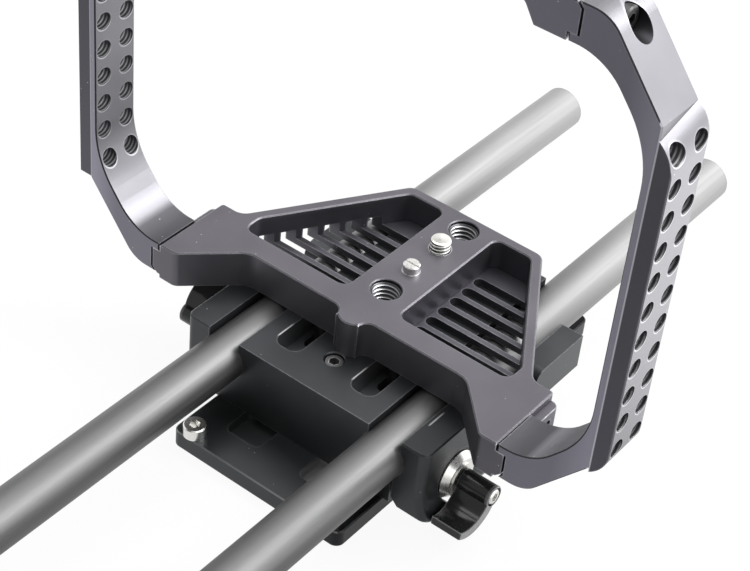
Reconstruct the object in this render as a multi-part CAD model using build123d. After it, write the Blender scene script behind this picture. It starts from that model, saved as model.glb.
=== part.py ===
from build123d import *
import math
import os

os.makedirs("parts", exist_ok=True)

# Camera cage on two support rods.  X is across, Y runs back along the rods, Z is up.
# The origin is the camera screw's axis on the camera plate's top face.  Sizes in mm.

# ---- clearances ----
FIXED_CLEAR = 0.02       # a fixed screw or pin in its hole, on the radius
RUN_CLEAR = 0.06         # a rod or screw that slides or turns in its bore, on the radius
FREE_CLEAR = 0.3         # a moving screw in a plain hole, on the radius
SLIDE_CLEAR = 0.12       # a sliding key in its groove, on each side
FACE_GAP = 0.1           # end gap between a turning face and a still one

# ---- standard hardware ----
QUARTER_R = 3.175        # 1/4 inch camera thread
THREE_EIGHTHS_R = 4.7625  # 3/8 inch camera thread
MOUTH = 0.35             # bevel round the mouth of a threaded hole
M4_R = 2.0
M4_HEAD_R = 3.5
M4_HEAD_H = 3.8
M4_SOCKET_AF = 3.0
M4_CSK_R = 4.0
M4_CSK_H = 2.2
HEAD_ROOM = 0.25         # room round a sunk screw head, on the radius
FASTENER_CHAMFER = 0.35

# ---- rods ----
ROD_R = 7.5
ROD_X = 30.0
ROD_Z = -20.7
ROD_LENGTH = 300.0
ROD_REAR_Y = 118.5
ROD_CHAMFER = 1.0

# ---- camera plate ----
PLATE_T = 12.7
PLATE_END_X = 62.2
PLATE_FRONT_Y = -41.9
PLATE_REAR_Y = 19.3
PLATE_REAR_HALF = 24.9
WING_FRONT_Y = -57.7
WING_REAR_Y = -29.2
WING_SLANT_X = 56.2      # the wing's front edge turns into its 45 degree slant here
REAR_SLANT_DEG = 58.5    # slope of the long rear slants
WING_FRONT_R = 3.0
WING_ROOT_R = 7.0
REAR_CORNER_R = 4.0
REAR_ROOT_R = 4.5
WING_TIP_R = 1.3
LUG_R = 5.0
LUG_TIP_Y = -46.7
LUG_BLEND_R = 3.5
PLATE_CHAMFER = 0.4
POCKET_FLOOR_Z = -10.4
POCKET_FRONT_WALL = 8.1
POCKET_SIDE_WALL = 3.4
POCKET_SPINE_HALF = 9.8
POCKET_END_X = 49.2
POCKET_R = 3.0
FLOOR_SLOT_COUNT = 6
FLOOR_SLOT_FIRST_Y = -24.75
FLOOR_SLOT_PITCH = 6.15
FLOOR_SLOT_W = 4.2
FLOOR_SLOT_TOP_Z = -7.2  # the slots run out through the slanted wall up to here
FLOOR_SLOT_SETBACK = 0.4
FRONT_HOLE_Y = -26.75
REAR_HOLE_Y = 12.4

# ---- camera screw, its clip and the locating pin ----
CAM_SCREW_TOP_Z = 3.8
CAM_SCREW_DOME = 0.7
CAM_NECK_R = 2.5
CAM_HEAD_R = 6.0
CAM_HEAD_H = 3.6
CAM_HEAD_TOP_Z = -5.7
CAM_SEAT_Z = -5.5
CAM_BORE_R = 6.5
CAM_SOCKET_AF = 5.0
CLIP_T = 1.0
CLIP_HOLE_R = 4.2
CLIP_GAP_DEG = 24.0
PIN_Y = -14.6
PIN_R = 2.65
PIN_TOP_Z = 2.8
PIN_BOTTOM_Z = -7.0
PIN_SLOT_W = 0.8
PIN_SLOT_D = 0.7

# ---- end lap between plate or crossbar and an arm ----
LAP_Z = 2.5              # depth of the arm's covering lip
LAP_X = 2.8              # how far the tongue reaches past the end face
LAP_SEAM = 0.5           # open seam above the tongue
LAP_OPEN = 0.7           # open seam between the tongue's tip and the arm's foot
TONGUE_BEVEL = 1.8       # bevel under the tongue's tip
LEDGE_X = 4.6            # how far the plate's bottom ledge reaches past the end face
TONGUE_REAR_Y = -30.3
TONGUE_R = 2.0
TONGUE_HOLE_R = 1.3
TONGUE_HOLE_Y = -35.5
TONGUE_HOLE_Z = -6.3
TONGUE_HOLE_DEPTH = 4.0

# ---- arms ----
ARM_Y = -49.5
ARM_W = 16.4
ARM_END_T = 11.4         # thickness of the ends that meet the plate and the crossbar
ARM_REACH = 26.2         # from the plate's end to the strap's inner face
STRAP_T = 2.4
RAIL_T = 4.7
RAIL_SETBACK = 0.2
RAIL_END_Z = 10.7        # the left rail's square end stands this high
RAIL_ROUND_R = 11.0      # rounded ends of the right rail
RAIL_ROUND_Z = 17.8      # the lower round starts here on the outer face
RAIL_TOP_ROUND_Z = 106.3
RAIL_TOP_TILT_DEG = 15.0  # the upper round climbs towards the rear
ARM_HEIGHT = 130.3       # from the plate's top face to the crossbar's underside
ARM_SLOPE_DEG = 50.5
ARM_BEND_REACH = 10.95   # from the plate's end to where the inner line turns up
DIAGONAL_T = 7.0
ARM_FOOT_INNER_R = 18.0
ARM_FOOT_OUTER_R = 10.0
ARM_BEND_R = 30.0
ARM_CHAMFER = 0.4
ARM_HOLE_R = 2.8
ARM_HOLE_ROWS = 11
ARM_HOLE_PITCH = 9.4
ARM_HOLE_SPACING = 9.2
ARM_SCREW_Z = -7.1       # lower fixing screw's height; the upper one mirrors it
ARM_SCREW_REACH = 7.8    # from the plate's end to the screws' seats
ARM_SCREW_LENGTH = 15.0

# ---- crossbar ----
BAR_T = 6.0
BAR_BLOCK_LENGTH = 9.0
BAR_BLOCK_RISE = 3.4
BAR_HOLE_PITCH = 20.0
BAR_HOLE_COUNT = 3
BAR_CHAMFER = 0.5

# ---- base block ----
PAD_HALF = 24.4
BLOCK_SIDE_X = 34.0
BLOCK_FRONT_Y = -64.4
BLOCK_REAR_Y = 25.0
BLOCK_H = 24.6
REAR_WALL_X = 45.0
REAR_WALL_FRONT_Y = -8.5
REAR_WALL_BACK_Y = 16.5
REAR_WALL_TOP_Z = -18.7
REAR_WALL_BOTTOM_Z = -31.0
REAR_WALL_R = 4.5
PAD_SLOT_X = 14.0
PAD_SLOT_W = 9.0
PAD_SLOT_FRONT_Y = -56.0
PAD_SLOT_BACK_Y = -30.0
PAD_SLOT_R = 3.4
PAD_SLOT_DEPTH = 7.3
SHOULDER_T = 6.0
SHOULDER_SLOT_LENGTH = 14.0
PAD_SCREW_Y = -49.8
PAD_SCREW_R = 3.0
PAD_SCREW_H = 9.0
PAD_SCREW_SUNK = 0.8
PAD_SCREW_AF = 3.0
REAR_FIX_X = 6.3
REAR_FIX_Y = -12.0
REAR_FIX_SEAT_Z = -22.0
THREAD_DEPTH = 6.5       # fixing screws' bite in the camera plate
ACCESS_R = 6.5

# ---- rod clamps ----
JAW_INNER_X = 34.5
JAW_TOP_INNER_X = 35.9
JAW_OUTER_X = 45.0
JAW_FLARE = 3.0          # how far the foot spreads out under the lever
JAW_FLARE_TOP_Z = -27.0
JAW_LENGTH = 32.4
JAW_CORNER_R = 2.8
JAW_EDGE = 0.5
JAW_FOOT_BEVEL = 2.6
KEY_TOP_Z = -33.0
KEY_BOTTOM_Z = -37.0
KEY_REACH_X = 27.0
KEY_LENGTH = 22.0
LEVER_Z = -30.1
CLAMP_R = 1.5            # clamp screw, small enough to pass under the rod
CLAMP_SOCKET_AF = 2.5
WASHER_R = 7.8
WASHER_RIM_T = 0.8
WASHER_FACE_R = 6.2      # the washer is coned down to this face
WASHER_T = 2.8
WASHER_SUNK = 0.4
WASHER_BOSS_R = 4.8
WASHER_BOSS_T = 0.4
SPOTFACE_R = 8.5
HUB_R = 3.5
HUB_LENGTH = 11.4
HUB_RECESS_R = 3.1
HUB_RECESS_DEPTH = 1.2
CLAMP_HEAD_R = 2.4
CLAMP_HEAD_H = 2.6
CLAMP_TIP_X = 21.5
CLAMP_BORE_END_X = 20.5
WING_LENGTH = 10.0       # length of the wing along the hub at its tip
WING_REACH = 17.0
WING_BELLY = 5.7         # how far the wing's rounded back stands off the hub's axis
WING_HOLLOW = 1.9        # how far its hollow face does
WING_TIP_T = 2.2
WING_CHAMFER = 0.3
RIGHT_LEVER_DEG = 194.0  # direction of the right wing, seen from its own side
LEFT_LEVER_DEG = 30.0

# ---- tripod plate ----
TRIPOD_HALF = 31.8
TRIPOD_T = 5.6
TRIPOD_OVERHANG = 20.0
TRIPOD_CORNER_R = 2.8
TRIPOD_CHAMFER = 0.4
RECESS_FRONT_Y = -74.0   # the two recesses in front of the block
RECESS_BACK_Y = -62.0
RECESS_W = 12.8
RECESS_R = 2.5
RECESS_DEPTH = 3.4
TRIPOD_HOLE_Y = -19.7
TRIPOD_SMALL_Y = -44.7
RELIEF_DEPTH = 6.0
RELIEF_CLEAR = 0.4
FOOT_FIX_X = 22.0
FOOT_FIX_FRONT_Y = -60.0
FOOT_FIX_REAR_Y = 19.0
FOOT_FIX_LENGTH = 12.5
STOP_X = 25.6
STOP_Y = -81.4

# ---- places that follow from the sizes ----
PLATE_BOTTOM_Z = -PLATE_T
BLOCK_TOP_Z = PLATE_BOTTOM_Z
BLOCK_BOTTOM_Z = BLOCK_TOP_Z - BLOCK_H
TRIPOD_BOTTOM_Z = BLOCK_BOTTOM_Z - TRIPOD_T
ROD_BORE_R = ROD_R + RUN_CLEAR
ARM_BEND_X = PLATE_END_X + ARM_BEND_REACH
ARM_INNER_X = PLATE_END_X + ARM_REACH
STRAP_OUTER_X = ARM_INNER_X + STRAP_T
ARM_OUTER_X = STRAP_OUTER_X + RAIL_T
ARM_SCREW_SEAT_X = PLATE_END_X + ARM_SCREW_REACH
TONGUE_X = PLATE_END_X + LAP_X
BAR_BLOCK_INNER_X = PLATE_END_X - BAR_BLOCK_LENGTH
ARM_FRONT_Y = ARM_Y - ARM_W / 2
ARM_BACK_Y = ARM_Y + ARM_W / 2
ARM_MID_Z = ARM_HEIGHT / 2
CROSSBAR_TOP_Z = ARM_HEIGHT + ARM_END_T
POCKET_FRONT_Y = PLATE_FRONT_Y + POCKET_FRONT_WALL
POCKET_REAR_Y = PLATE_REAR_Y - POCKET_SIDE_WALL
SLANT = math.radians(REAR_SLANT_DEG)
FRONT_FIX_Y = PLATE_FRONT_Y + POCKET_FRONT_WALL / 2
SHOULDER_TOP_Z = BLOCK_TOP_Z - PAD_SLOT_DEPTH
FRONT_FIX_SEAT_Z = SHOULDER_TOP_Z - SHOULDER_T
CLIP_TOP_Z = CAM_HEAD_TOP_Z - CAM_HEAD_H - 0.2
LEVER_Y = BLOCK_FRONT_Y + JAW_LENGTH / 2
WASHER_IN_X = JAW_OUTER_X - WASHER_SUNK
WASHER_OUT_X = WASHER_IN_X + WASHER_T
HUB_IN_X = WASHER_OUT_X + WASHER_BOSS_T + FACE_GAP
HUB_OUT_X = HUB_IN_X + HUB_LENGTH
CLAMP_SEAT_X = HUB_OUT_X - HUB_RECESS_DEPTH - CLAMP_HEAD_H / 2


# ---------------------------------------------------------------- helpers
def box(x0, x1, y0, y1, z0, z1):
    """A box between two corners."""
    size = Box(x1 - x0, y1 - y0, z1 - z0)
    return Pos((x0 + x1) / 2, (y0 + y1) / 2, (z0 + z1) / 2) * size


def rod_z(x, y, z0, z1, r):
    """An upright cylinder from z0 to z1."""
    return Pos(x, y, (z0 + z1) / 2) * Cylinder(r, z1 - z0)


def rod_x(y, z, x0, x1, r):
    """A cylinder along X from x0 to x1."""
    return Pos((x0 + x1) / 2, y, z) * Rot(0, 90, 0) * Cylinder(r, x1 - x0)


def rod_y(x, z, y0, y1, r):
    """A cylinder along Y from y0 to y1."""
    return Pos(x, (y0 + y1) / 2, z) * Rot(90, 0, 0) * Cylinder(r, y1 - y0)


def cone_z(x, y, z_wide, r_wide, z_narrow, r_narrow):
    """A cone frustum between two heights."""
    if z_wide > z_narrow:
        cone = Cone(r_narrow, r_wide, z_wide - z_narrow)
    else:
        cone = Cone(r_wide, r_narrow, z_narrow - z_wide)
    return Pos(x, y, (z_wide + z_narrow) / 2) * cone


def hex_z(x, y, z0, z1, across_flats):
    """An upright hexagonal prism."""
    corner_r = across_flats / math.sqrt(3)
    face = RegularPolygon(corner_r, 6)
    return Pos(x, y, z0) * extrude(face, z1 - z0)


def slot_y(x, y0, y1, z0, z1, w, r):
    """An upright pocket running along Y with rounded corners."""
    face = RectangleRounded(w, y1 - y0, r)
    return Pos(x, (y0 + y1) / 2, z0) * extrude(face, z1 - z0)


def mirrored(shape):
    """The same shape on the other side of the middle plane."""
    return mirror(shape, about=Plane.YZ)


def both(shape):
    """A shape together with its mirror image."""
    return [shape, mirrored(shape)]


def plan(points, z0, z1, radii):
    """Extrude a plan outline; radii maps a point's index to its corner radius."""
    face = make_face(Polyline(*points, close=True))
    for i, r in radii.items():
        x, y = points[i]
        corner = [v for v in face.vertices() if abs(v.X - x) + abs(v.Y - y) < 1e-4]
        face = fillet(corner, r)
    return Pos(0, 0, z0) * extrude(face, z1 - z0)


def section(points, y0, y1, radii):
    """Extrude an outline drawn in X and Z along Y from y0 to y1."""
    solid = plan([(x, z) for x, z in points], 0, y1 - y0, radii)
    return Pos(0, y1, 0) * Rot(90, 0, 0) * solid


def threaded(x, y, z_mouth, z_end, r):
    """Cutter for an upright threaded hole with a bevelled mouth."""
    depth = z_end - z_mouth
    step = math.copysign(MOUTH, depth)
    bore = rod_z(x, y, min(z_mouth, z_end), max(z_mouth, z_end), r)
    return bore + cone_z(x, y, z_mouth, r + MOUTH, z_mouth + step, r)


def socket_screw(length, r, head_r, head_h, socket_af):
    """A socket screw along Z: the seat is at z = 0, the shank points up."""
    head = rod_z(0, 0, -head_h, 0, head_r)
    head = chamfer(head.edges().group_by(Axis.Z)[0], FASTENER_CHAMFER)
    shank = rod_z(0, 0, -0.01, length, r)
    shank = chamfer(shank.edges().group_by(Axis.Z)[-1], FASTENER_CHAMFER)
    return head + shank - hex_z(0, 0, -head_h - 1, -head_h * 0.45, socket_af)


# ---------------------------------------------------------------- camera plate
def slant_x(y, inset=0.0):
    """Where the long rear slant, or a line inset from it, crosses a given y."""
    return PLATE_REAR_HALF - inset / math.sin(SLANT) + (PLATE_REAR_Y - y) / math.tan(SLANT)


def plate_outline():
    """The plate's right half outline, mirrored into the whole."""
    slant_run = PLATE_FRONT_Y - WING_FRONT_Y
    half = [
        (0, PLATE_FRONT_Y),
        (WING_SLANT_X - slant_run, PLATE_FRONT_Y),
        (WING_SLANT_X, WING_FRONT_Y),
        (PLATE_END_X, WING_FRONT_Y),
        (PLATE_END_X, WING_REAR_Y),
        (slant_x(WING_REAR_Y), WING_REAR_Y),
        (PLATE_REAR_HALF, PLATE_REAR_Y),
        (0, PLATE_REAR_Y),
    ]
    radii = {1: WING_ROOT_R, 2: WING_FRONT_R, 4: WING_TIP_R, 5: REAR_ROOT_R, 6: REAR_CORNER_R}
    return plan(half, PLATE_BOTTOM_Z, 0, radii)


def plate_lug():
    """The rounded lug in the middle of the front edge, blended into it."""
    lug_y = LUG_TIP_Y + LUG_R
    blend = LUG_R + LUG_BLEND_R
    drop = PLATE_FRONT_Y - LUG_BLEND_R - lug_y
    blend_x = math.sqrt(blend ** 2 - drop ** 2)
    root = box(-blend_x, blend_x, lug_y + drop, PLATE_FRONT_Y + 1, PLATE_BOTTOM_Z, 0)
    for side in (-1, 1):
        root -= rod_z(side * blend_x, lug_y + drop, PLATE_BOTTOM_Z - 1, 1, LUG_BLEND_R)
    return rod_z(0, lug_y, PLATE_BOTTOM_Z, 0, LUG_R) + root


def plate_pocket():
    """Cutter for the right pocket, down to the ribbed floor."""
    points = [
        (POCKET_SPINE_HALF, POCKET_FRONT_Y),
        (POCKET_END_X, POCKET_FRONT_Y),
        (POCKET_END_X, pocket_bend_y()),
        (slant_x(POCKET_REAR_Y, POCKET_SIDE_WALL), POCKET_REAR_Y),
        (POCKET_SPINE_HALF, POCKET_REAR_Y),
    ]
    radii = {i: POCKET_R for i in range(len(points))}
    return plan(points, POCKET_FLOOR_Z, 1, radii)


def pocket_bend_y():
    """Where the pocket's short end wall meets its slanted wall."""
    reach = POCKET_END_X - slant_x(0, POCKET_SIDE_WALL)
    return -reach * math.tan(SLANT)


def floor_slots():
    """Cutters for the open slots between the floor ribs of the right pocket."""
    x0 = POCKET_SPINE_HALF + FLOOR_SLOT_SETBACK
    slots = []
    for i in range(FLOOR_SLOT_COUNT):
        y = FLOOR_SLOT_FIRST_Y + i * FLOOR_SLOT_PITCH
        x1 = slant_x(y - FLOOR_SLOT_W / 2) + REAR_ROOT_R
        r = FLOOR_SLOT_W / 2
        cut = box(x0 + r, x1, y - r, y + r, PLATE_BOTTOM_Z - 1, FLOOR_SLOT_TOP_Z)
        cut += rod_z(x0 + r, y, PLATE_BOTTOM_Z - 1, FLOOR_SLOT_TOP_Z, r)
        slots.append(cut)
    return slots


def lap_profile(open_by=0.0):
    """Right end's lap line in X and Z, moved out by an opening: flat top, tip, bevel."""
    x = TONGUE_X + open_by
    tip_z = TONGUE_BEVEL - ARM_END_T - open_by * math.tan(math.radians(22.5))
    end_z = PLATE_BOTTOM_Z - open_by
    return [
        (PLATE_END_X - 1, -LAP_Z),
        (x, -LAP_Z),
        (x, tip_z),
        (x - (tip_z - end_z), end_z),
        (PLATE_END_X - 1, end_z),
    ]


def end_tongue():
    """The tongue under the arm's lip, and its deeper end with a ledge behind the arm."""
    below = box(PLATE_END_X, TONGUE_X, ARM_FRONT_Y - 1, ARM_BACK_Y, PLATE_BOTTOM_Z - 1, -ARM_END_T)
    front = section(lap_profile(), ARM_FRONT_Y, ARM_BACK_Y, {}) - below
    rear = []
    for reach, top_z in ((LAP_X, -LAP_Z), (LEDGE_X, -ARM_END_T)):
        x = PLATE_END_X + reach
        outline = [
            (PLATE_END_X - 1, ARM_BACK_Y),
            (x, ARM_BACK_Y),
            (x, TONGUE_REAR_Y),
            (PLATE_END_X - 1, TONGUE_REAR_Y),
        ]
        rear.append(plan(outline, PLATE_BOTTOM_Z, top_z, {2: TONGUE_R}))
    return front + rear


def arm_screw_thread(z):
    """Cutter for the threaded hole that takes one of the right arm's screws."""
    end_x = ARM_SCREW_SEAT_X - ARM_SCREW_LENGTH - 1
    return rod_x(ARM_Y, z, end_x, TONGUE_X + 1, M4_R + FIXED_CLEAR)


def make_camera_plate():
    half = plate_outline() - plate_pocket()
    body = half + mirrored(half) + plate_lug()
    body = chamfer(body.edges().filter_by_position(Axis.Z, -0.01, 0.01), PLATE_CHAMFER)
    body += both(end_tongue())
    side_cuts = floor_slots()
    side_cuts.append(arm_screw_thread(ARM_SCREW_Z))
    hole_start = TONGUE_X - TONGUE_HOLE_DEPTH
    side_cuts.append(rod_x(TONGUE_HOLE_Y, TONGUE_HOLE_Z, hole_start, TONGUE_X + 1, TONGUE_HOLE_R))
    fix_r = M4_R + FIXED_CLEAR
    for x, y in ((PAD_SLOT_X, FRONT_FIX_Y), (REAR_FIX_X, REAR_FIX_Y)):
        top_z = PLATE_BOTTOM_Z + THREAD_DEPTH + 1
        side_cuts.append(rod_z(x, y, PLATE_BOTTOM_Z - 1, top_z, fix_r))
    for cut in side_cuts:
        body -= both(cut)
    for y in (FRONT_HOLE_Y, REAR_HOLE_Y):
        body -= threaded(0, y, 0, PLATE_BOTTOM_Z - 1, THREE_EIGHTHS_R)
    body -= rod_z(0, 0, PLATE_BOTTOM_Z - 1, 1, QUARTER_R + FREE_CLEAR)
    body -= rod_z(0, 0, PLATE_BOTTOM_Z - 1, CAM_SEAT_Z, CAM_BORE_R)
    body -= rod_z(0, PIN_Y, PIN_BOTTOM_Z - 0.5, 1, PIN_R + FIXED_CLEAR)
    return body


def make_camera_screw():
    """Captive 1/4 inch screw with a necked shank and a flat head, turned from below."""
    top = CAM_SCREW_TOP_Z
    shank = rod_z(0, 0, 0, top, QUARTER_R)
    shank = fillet(shank.edges().group_by(Axis.Z)[-1], CAM_SCREW_DOME)
    shank += rod_z(0, 0, CAM_HEAD_TOP_Z - 0.01, 0.01, CAM_NECK_R)
    head = rod_z(0, 0, CAM_HEAD_TOP_Z - CAM_HEAD_H, CAM_HEAD_TOP_Z, CAM_HEAD_R)
    head = chamfer(head.edges(), FASTENER_CHAMFER)
    bottom = CAM_HEAD_TOP_Z - CAM_HEAD_H
    return shank + head - hex_z(0, 0, bottom - 1, bottom + CAM_HEAD_H * 0.7, CAM_SOCKET_AF)


def make_camera_screw_clip():
    """Split spring ring that keeps the camera screw in its bore."""
    ring = rod_z(0, 0, CLIP_TOP_Z - CLIP_T, CLIP_TOP_Z, CAM_BORE_R)
    ring -= rod_z(0, 0, CLIP_TOP_Z - CLIP_T - 1, CLIP_TOP_Z + 1, CLIP_HOLE_R)
    gap = 2 * CAM_BORE_R * math.sin(math.radians(CLIP_GAP_DEG / 2))
    return ring - box(-gap / 2, gap / 2, 0, CAM_BORE_R + 1, CLIP_TOP_Z - 2, CLIP_TOP_Z + 1)


def make_locating_pin():
    pin = rod_z(0, PIN_Y, PIN_BOTTOM_Z, PIN_TOP_Z, PIN_R)
    pin = chamfer(pin.edges(), FASTENER_CHAMFER)
    half = PIN_SLOT_W / 2
    cut = box(-PIN_R, PIN_R, PIN_Y - half, PIN_Y + half, PIN_TOP_Z - PIN_SLOT_D, PIN_TOP_Z + 1)
    return pin - cut


def make_plate_fixing_screws():
    """Four socket screws that hold the camera plate down on the base block."""
    screws = []
    for y, x, seat in (
        (FRONT_FIX_Y, PAD_SLOT_X, FRONT_FIX_SEAT_Z),
        (REAR_FIX_Y, REAR_FIX_X, REAR_FIX_SEAT_Z),
    ):
        length = PLATE_BOTTOM_Z + THREAD_DEPTH - seat
        screw = socket_screw(length, M4_R, M4_HEAD_R, M4_HEAD_H, M4_SOCKET_AF)
        screws += both(Pos(x, y, seat) * screw)
    return Compound(screws)


# ---------------------------------------------------------------- base block
def rod_channels():
    """Cutters for the two open-topped channels over the rods."""
    y0 = BLOCK_FRONT_Y - 1
    y1 = BLOCK_REAR_Y + 1
    bore = rod_y(ROD_X, ROD_Z, y0, y1, ROD_BORE_R)
    top = box(PAD_HALF, REAR_WALL_X + 1, y0, y1, ROD_Z, BLOCK_TOP_Z + 1)
    above = box(ROD_X, REAR_WALL_X + 1, y0, y1, REAR_WALL_TOP_Z, BLOCK_TOP_Z + 1)
    cut_top = top & box(PAD_HALF, ROD_X, y0, y1, ROD_Z, BLOCK_TOP_Z + 1)
    return both(bore + cut_top + above)


def pad_slot():
    """Cutter for one pad slot: open top, screw slot in the shoulder, head room below."""
    y_mid = FRONT_FIX_Y
    half = SHOULDER_SLOT_LENGTH / 2
    w = 2 * (M4_R + FREE_CLEAR)
    y0, y1 = PAD_SLOT_FRONT_Y, PAD_SLOT_BACK_Y
    top = slot_y(PAD_SLOT_X, y0, y1, SHOULDER_TOP_Z, BLOCK_TOP_Z + 1, PAD_SLOT_W, PAD_SLOT_R)
    below_z = BLOCK_BOTTOM_Z - 1
    low = slot_y(PAD_SLOT_X, y0, y1, below_z, FRONT_FIX_SEAT_Z, PAD_SLOT_W, PAD_SLOT_R)
    slit = slot_y(PAD_SLOT_X, y_mid - half, y_mid + half, below_z, BLOCK_TOP_Z, w, w / 2 - 0.01)
    return top + low + slit


def rear_wall():
    """The low outer wall that cradles the right rod at the rear."""
    front = REAR_WALL_FRONT_Y
    y1 = REAR_WALL_BACK_Y
    wall = box(ROD_X, REAR_WALL_X, front, y1, REAR_WALL_BOTTOM_Z, REAR_WALL_TOP_Z)
    edge = wall.edges().filter_by(Axis.X).group_by(Axis.Y)[0].sort_by(Axis.Z)[-1]
    wall = fillet(edge, REAR_WALL_R)
    return wall


def make_base_block():
    x, y0, y1 = BLOCK_SIDE_X, BLOCK_FRONT_Y, BLOCK_REAR_Y
    block = box(-x, x, y0, y1, BLOCK_BOTTOM_Z, BLOCK_TOP_Z)
    block += both(rear_wall())
    for cut in rod_channels():
        block -= cut
    cuts = [pad_slot()]
    key_half = KEY_LENGTH / 2 + SLIDE_CLEAR
    key_x = KEY_REACH_X - 2 * SLIDE_CLEAR
    key_top = KEY_TOP_Z + SLIDE_CLEAR
    y = LEVER_Y
    cuts.append(box(key_x, x + 1, y - key_half, y + key_half, BLOCK_BOTTOM_Z - 1, key_top))
    cuts.append(rod_x(y, LEVER_Z, CLAMP_BORE_END_X, x + 1, CLAMP_R + RUN_CLEAR))
    cuts.append(rod_z(REAR_FIX_X, REAR_FIX_Y, BLOCK_BOTTOM_Z - 1, BLOCK_TOP_Z + 1, M4_R + HEAD_ROOM))
    head_room = M4_HEAD_R + HEAD_ROOM
    cuts.append(rod_z(REAR_FIX_X, REAR_FIX_Y, BLOCK_BOTTOM_Z - 1, REAR_FIX_SEAT_Z, head_room))
    for fix_y in (FOOT_FIX_FRONT_Y, FOOT_FIX_REAR_Y):
        top_z = TRIPOD_BOTTOM_Z + FOOT_FIX_LENGTH + 1
        cuts.append(rod_z(FOOT_FIX_X, fix_y, BLOCK_BOTTOM_Z - 1, top_z, M4_R + FIXED_CLEAR))
    for cut in cuts:
        block -= both(cut)
    block -= rod_z(0, 0, BLOCK_BOTTOM_Z - 1, BLOCK_TOP_Z + 1, ACCESS_R)
    pad_end = BLOCK_TOP_Z - PAD_SCREW_SUNK - PAD_SCREW_H - 0.5
    block -= threaded(0, PAD_SCREW_Y, BLOCK_TOP_Z, pad_end, PAD_SCREW_R + FIXED_CLEAR)
    relief_top = BLOCK_BOTTOM_Z + RELIEF_DEPTH
    for hole_y, r in ((TRIPOD_HOLE_Y, THREE_EIGHTHS_R), (TRIPOD_SMALL_Y, QUARTER_R)):
        block -= rod_z(0, hole_y, BLOCK_BOTTOM_Z - 1, relief_top, r + RELIEF_CLEAR)
    return block


def make_pad_set_screw():
    top = BLOCK_TOP_Z - PAD_SCREW_SUNK
    screw = rod_z(0, PAD_SCREW_Y, top - PAD_SCREW_H, top, PAD_SCREW_R)
    screw = chamfer(screw.edges(), FASTENER_CHAMFER)
    return screw - hex_z(0, PAD_SCREW_Y, top - PAD_SCREW_H / 3, top + 1, PAD_SCREW_AF)


# ---------------------------------------------------------------- rods
def make_rod(side):
    rod = rod_y(side * ROD_X, ROD_Z, ROD_REAR_Y - ROD_LENGTH, ROD_REAR_Y, ROD_R)
    return chamfer(rod.edges().filter_by(GeomType.CIRCLE), ROD_CHAMFER)


# ---------------------------------------------------------------- rod clamps
def jaw_body():
    """The jaw's upright block with a hollow flare that spreads its foot outwards."""
    y0 = BLOCK_FRONT_Y
    y1 = BLOCK_FRONT_Y + JAW_LENGTH
    foot_x = JAW_OUTER_X + JAW_FLARE
    rise = JAW_FLARE_TOP_Z - BLOCK_BOTTOM_Z
    flare_r = (JAW_FLARE ** 2 + rise ** 2) / (2 * JAW_FLARE)
    jaw = box(JAW_INNER_X, foot_x, y0, y1, BLOCK_BOTTOM_Z, BLOCK_TOP_Z)
    jaw -= box(JAW_OUTER_X, foot_x + 1, y0 - 1, y1 + 1, JAW_FLARE_TOP_Z, BLOCK_TOP_Z + 1)
    jaw -= rod_y(JAW_OUTER_X + flare_r, JAW_FLARE_TOP_Z, y0 - 1, y1 + 1, flare_r)
    ends = [f for f in jaw.faces() if abs(f.center().Y - (y0 + y1) / 2) > JAW_LENGTH / 2 - 0.01]
    corners = []
    for face in ends:
        upright = face.edges().filter_by(Axis.X, reverse=True)
        corners += [e for e in upright if e.center().X > JAW_OUTER_X - 0.01]
    return fillet(corners, JAW_CORNER_R)


def make_right_jaw():
    """Sliding jaw that closes on the rod, with a guide key under the screw."""
    y0 = BLOCK_FRONT_Y - 1
    y1 = BLOCK_FRONT_Y + JAW_LENGTH + 1
    jaw = jaw_body()
    foot = jaw.edges().filter_by(Axis.Y).group_by(Axis.X)[0].sort_by(Axis.Z)[0]
    jaw = chamfer(foot, JAW_FOOT_BEVEL)
    top = jaw.faces().sort_by(Axis.Z)[-1]
    jaw = chamfer(top.edges(), JAW_EDGE)
    jaw -= rod_y(ROD_X, ROD_Z, y0, y1, ROD_BORE_R)
    jaw -= box(JAW_INNER_X - 1, JAW_TOP_INNER_X, y0, y1, ROD_Z, BLOCK_TOP_Z + 1)
    half = KEY_LENGTH / 2
    jaw += box(KEY_REACH_X, JAW_INNER_X + 2, LEVER_Y - half, LEVER_Y + half, KEY_BOTTOM_Z, KEY_TOP_Z)
    outside = JAW_OUTER_X + JAW_FLARE + 1
    jaw -= rod_x(LEVER_Y, LEVER_Z, 0, outside, CLAMP_R + FREE_CLEAR)
    return jaw - rod_x(LEVER_Y, LEVER_Z, WASHER_IN_X, outside, SPOTFACE_R)


def make_right_washer():
    """Coned washer with a low boss under the lever's hub."""
    hole_r = CLAMP_R + FREE_CLEAR
    end = WASHER_T + WASHER_BOSS_T
    profile = [
        (hole_r, 0),
        (WASHER_R, 0),
        (WASHER_R, WASHER_RIM_T),
        (WASHER_FACE_R, WASHER_T),
        (WASHER_BOSS_R, WASHER_T),
        (WASHER_BOSS_R, end),
        (hole_r, end),
    ]
    washer = revolve(make_face(Plane.XZ * Polyline(*profile, close=True)), Axis.Z)
    return Pos(WASHER_IN_X, LEVER_Y, LEVER_Z) * Rot(0, 90, 0) * washer


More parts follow.
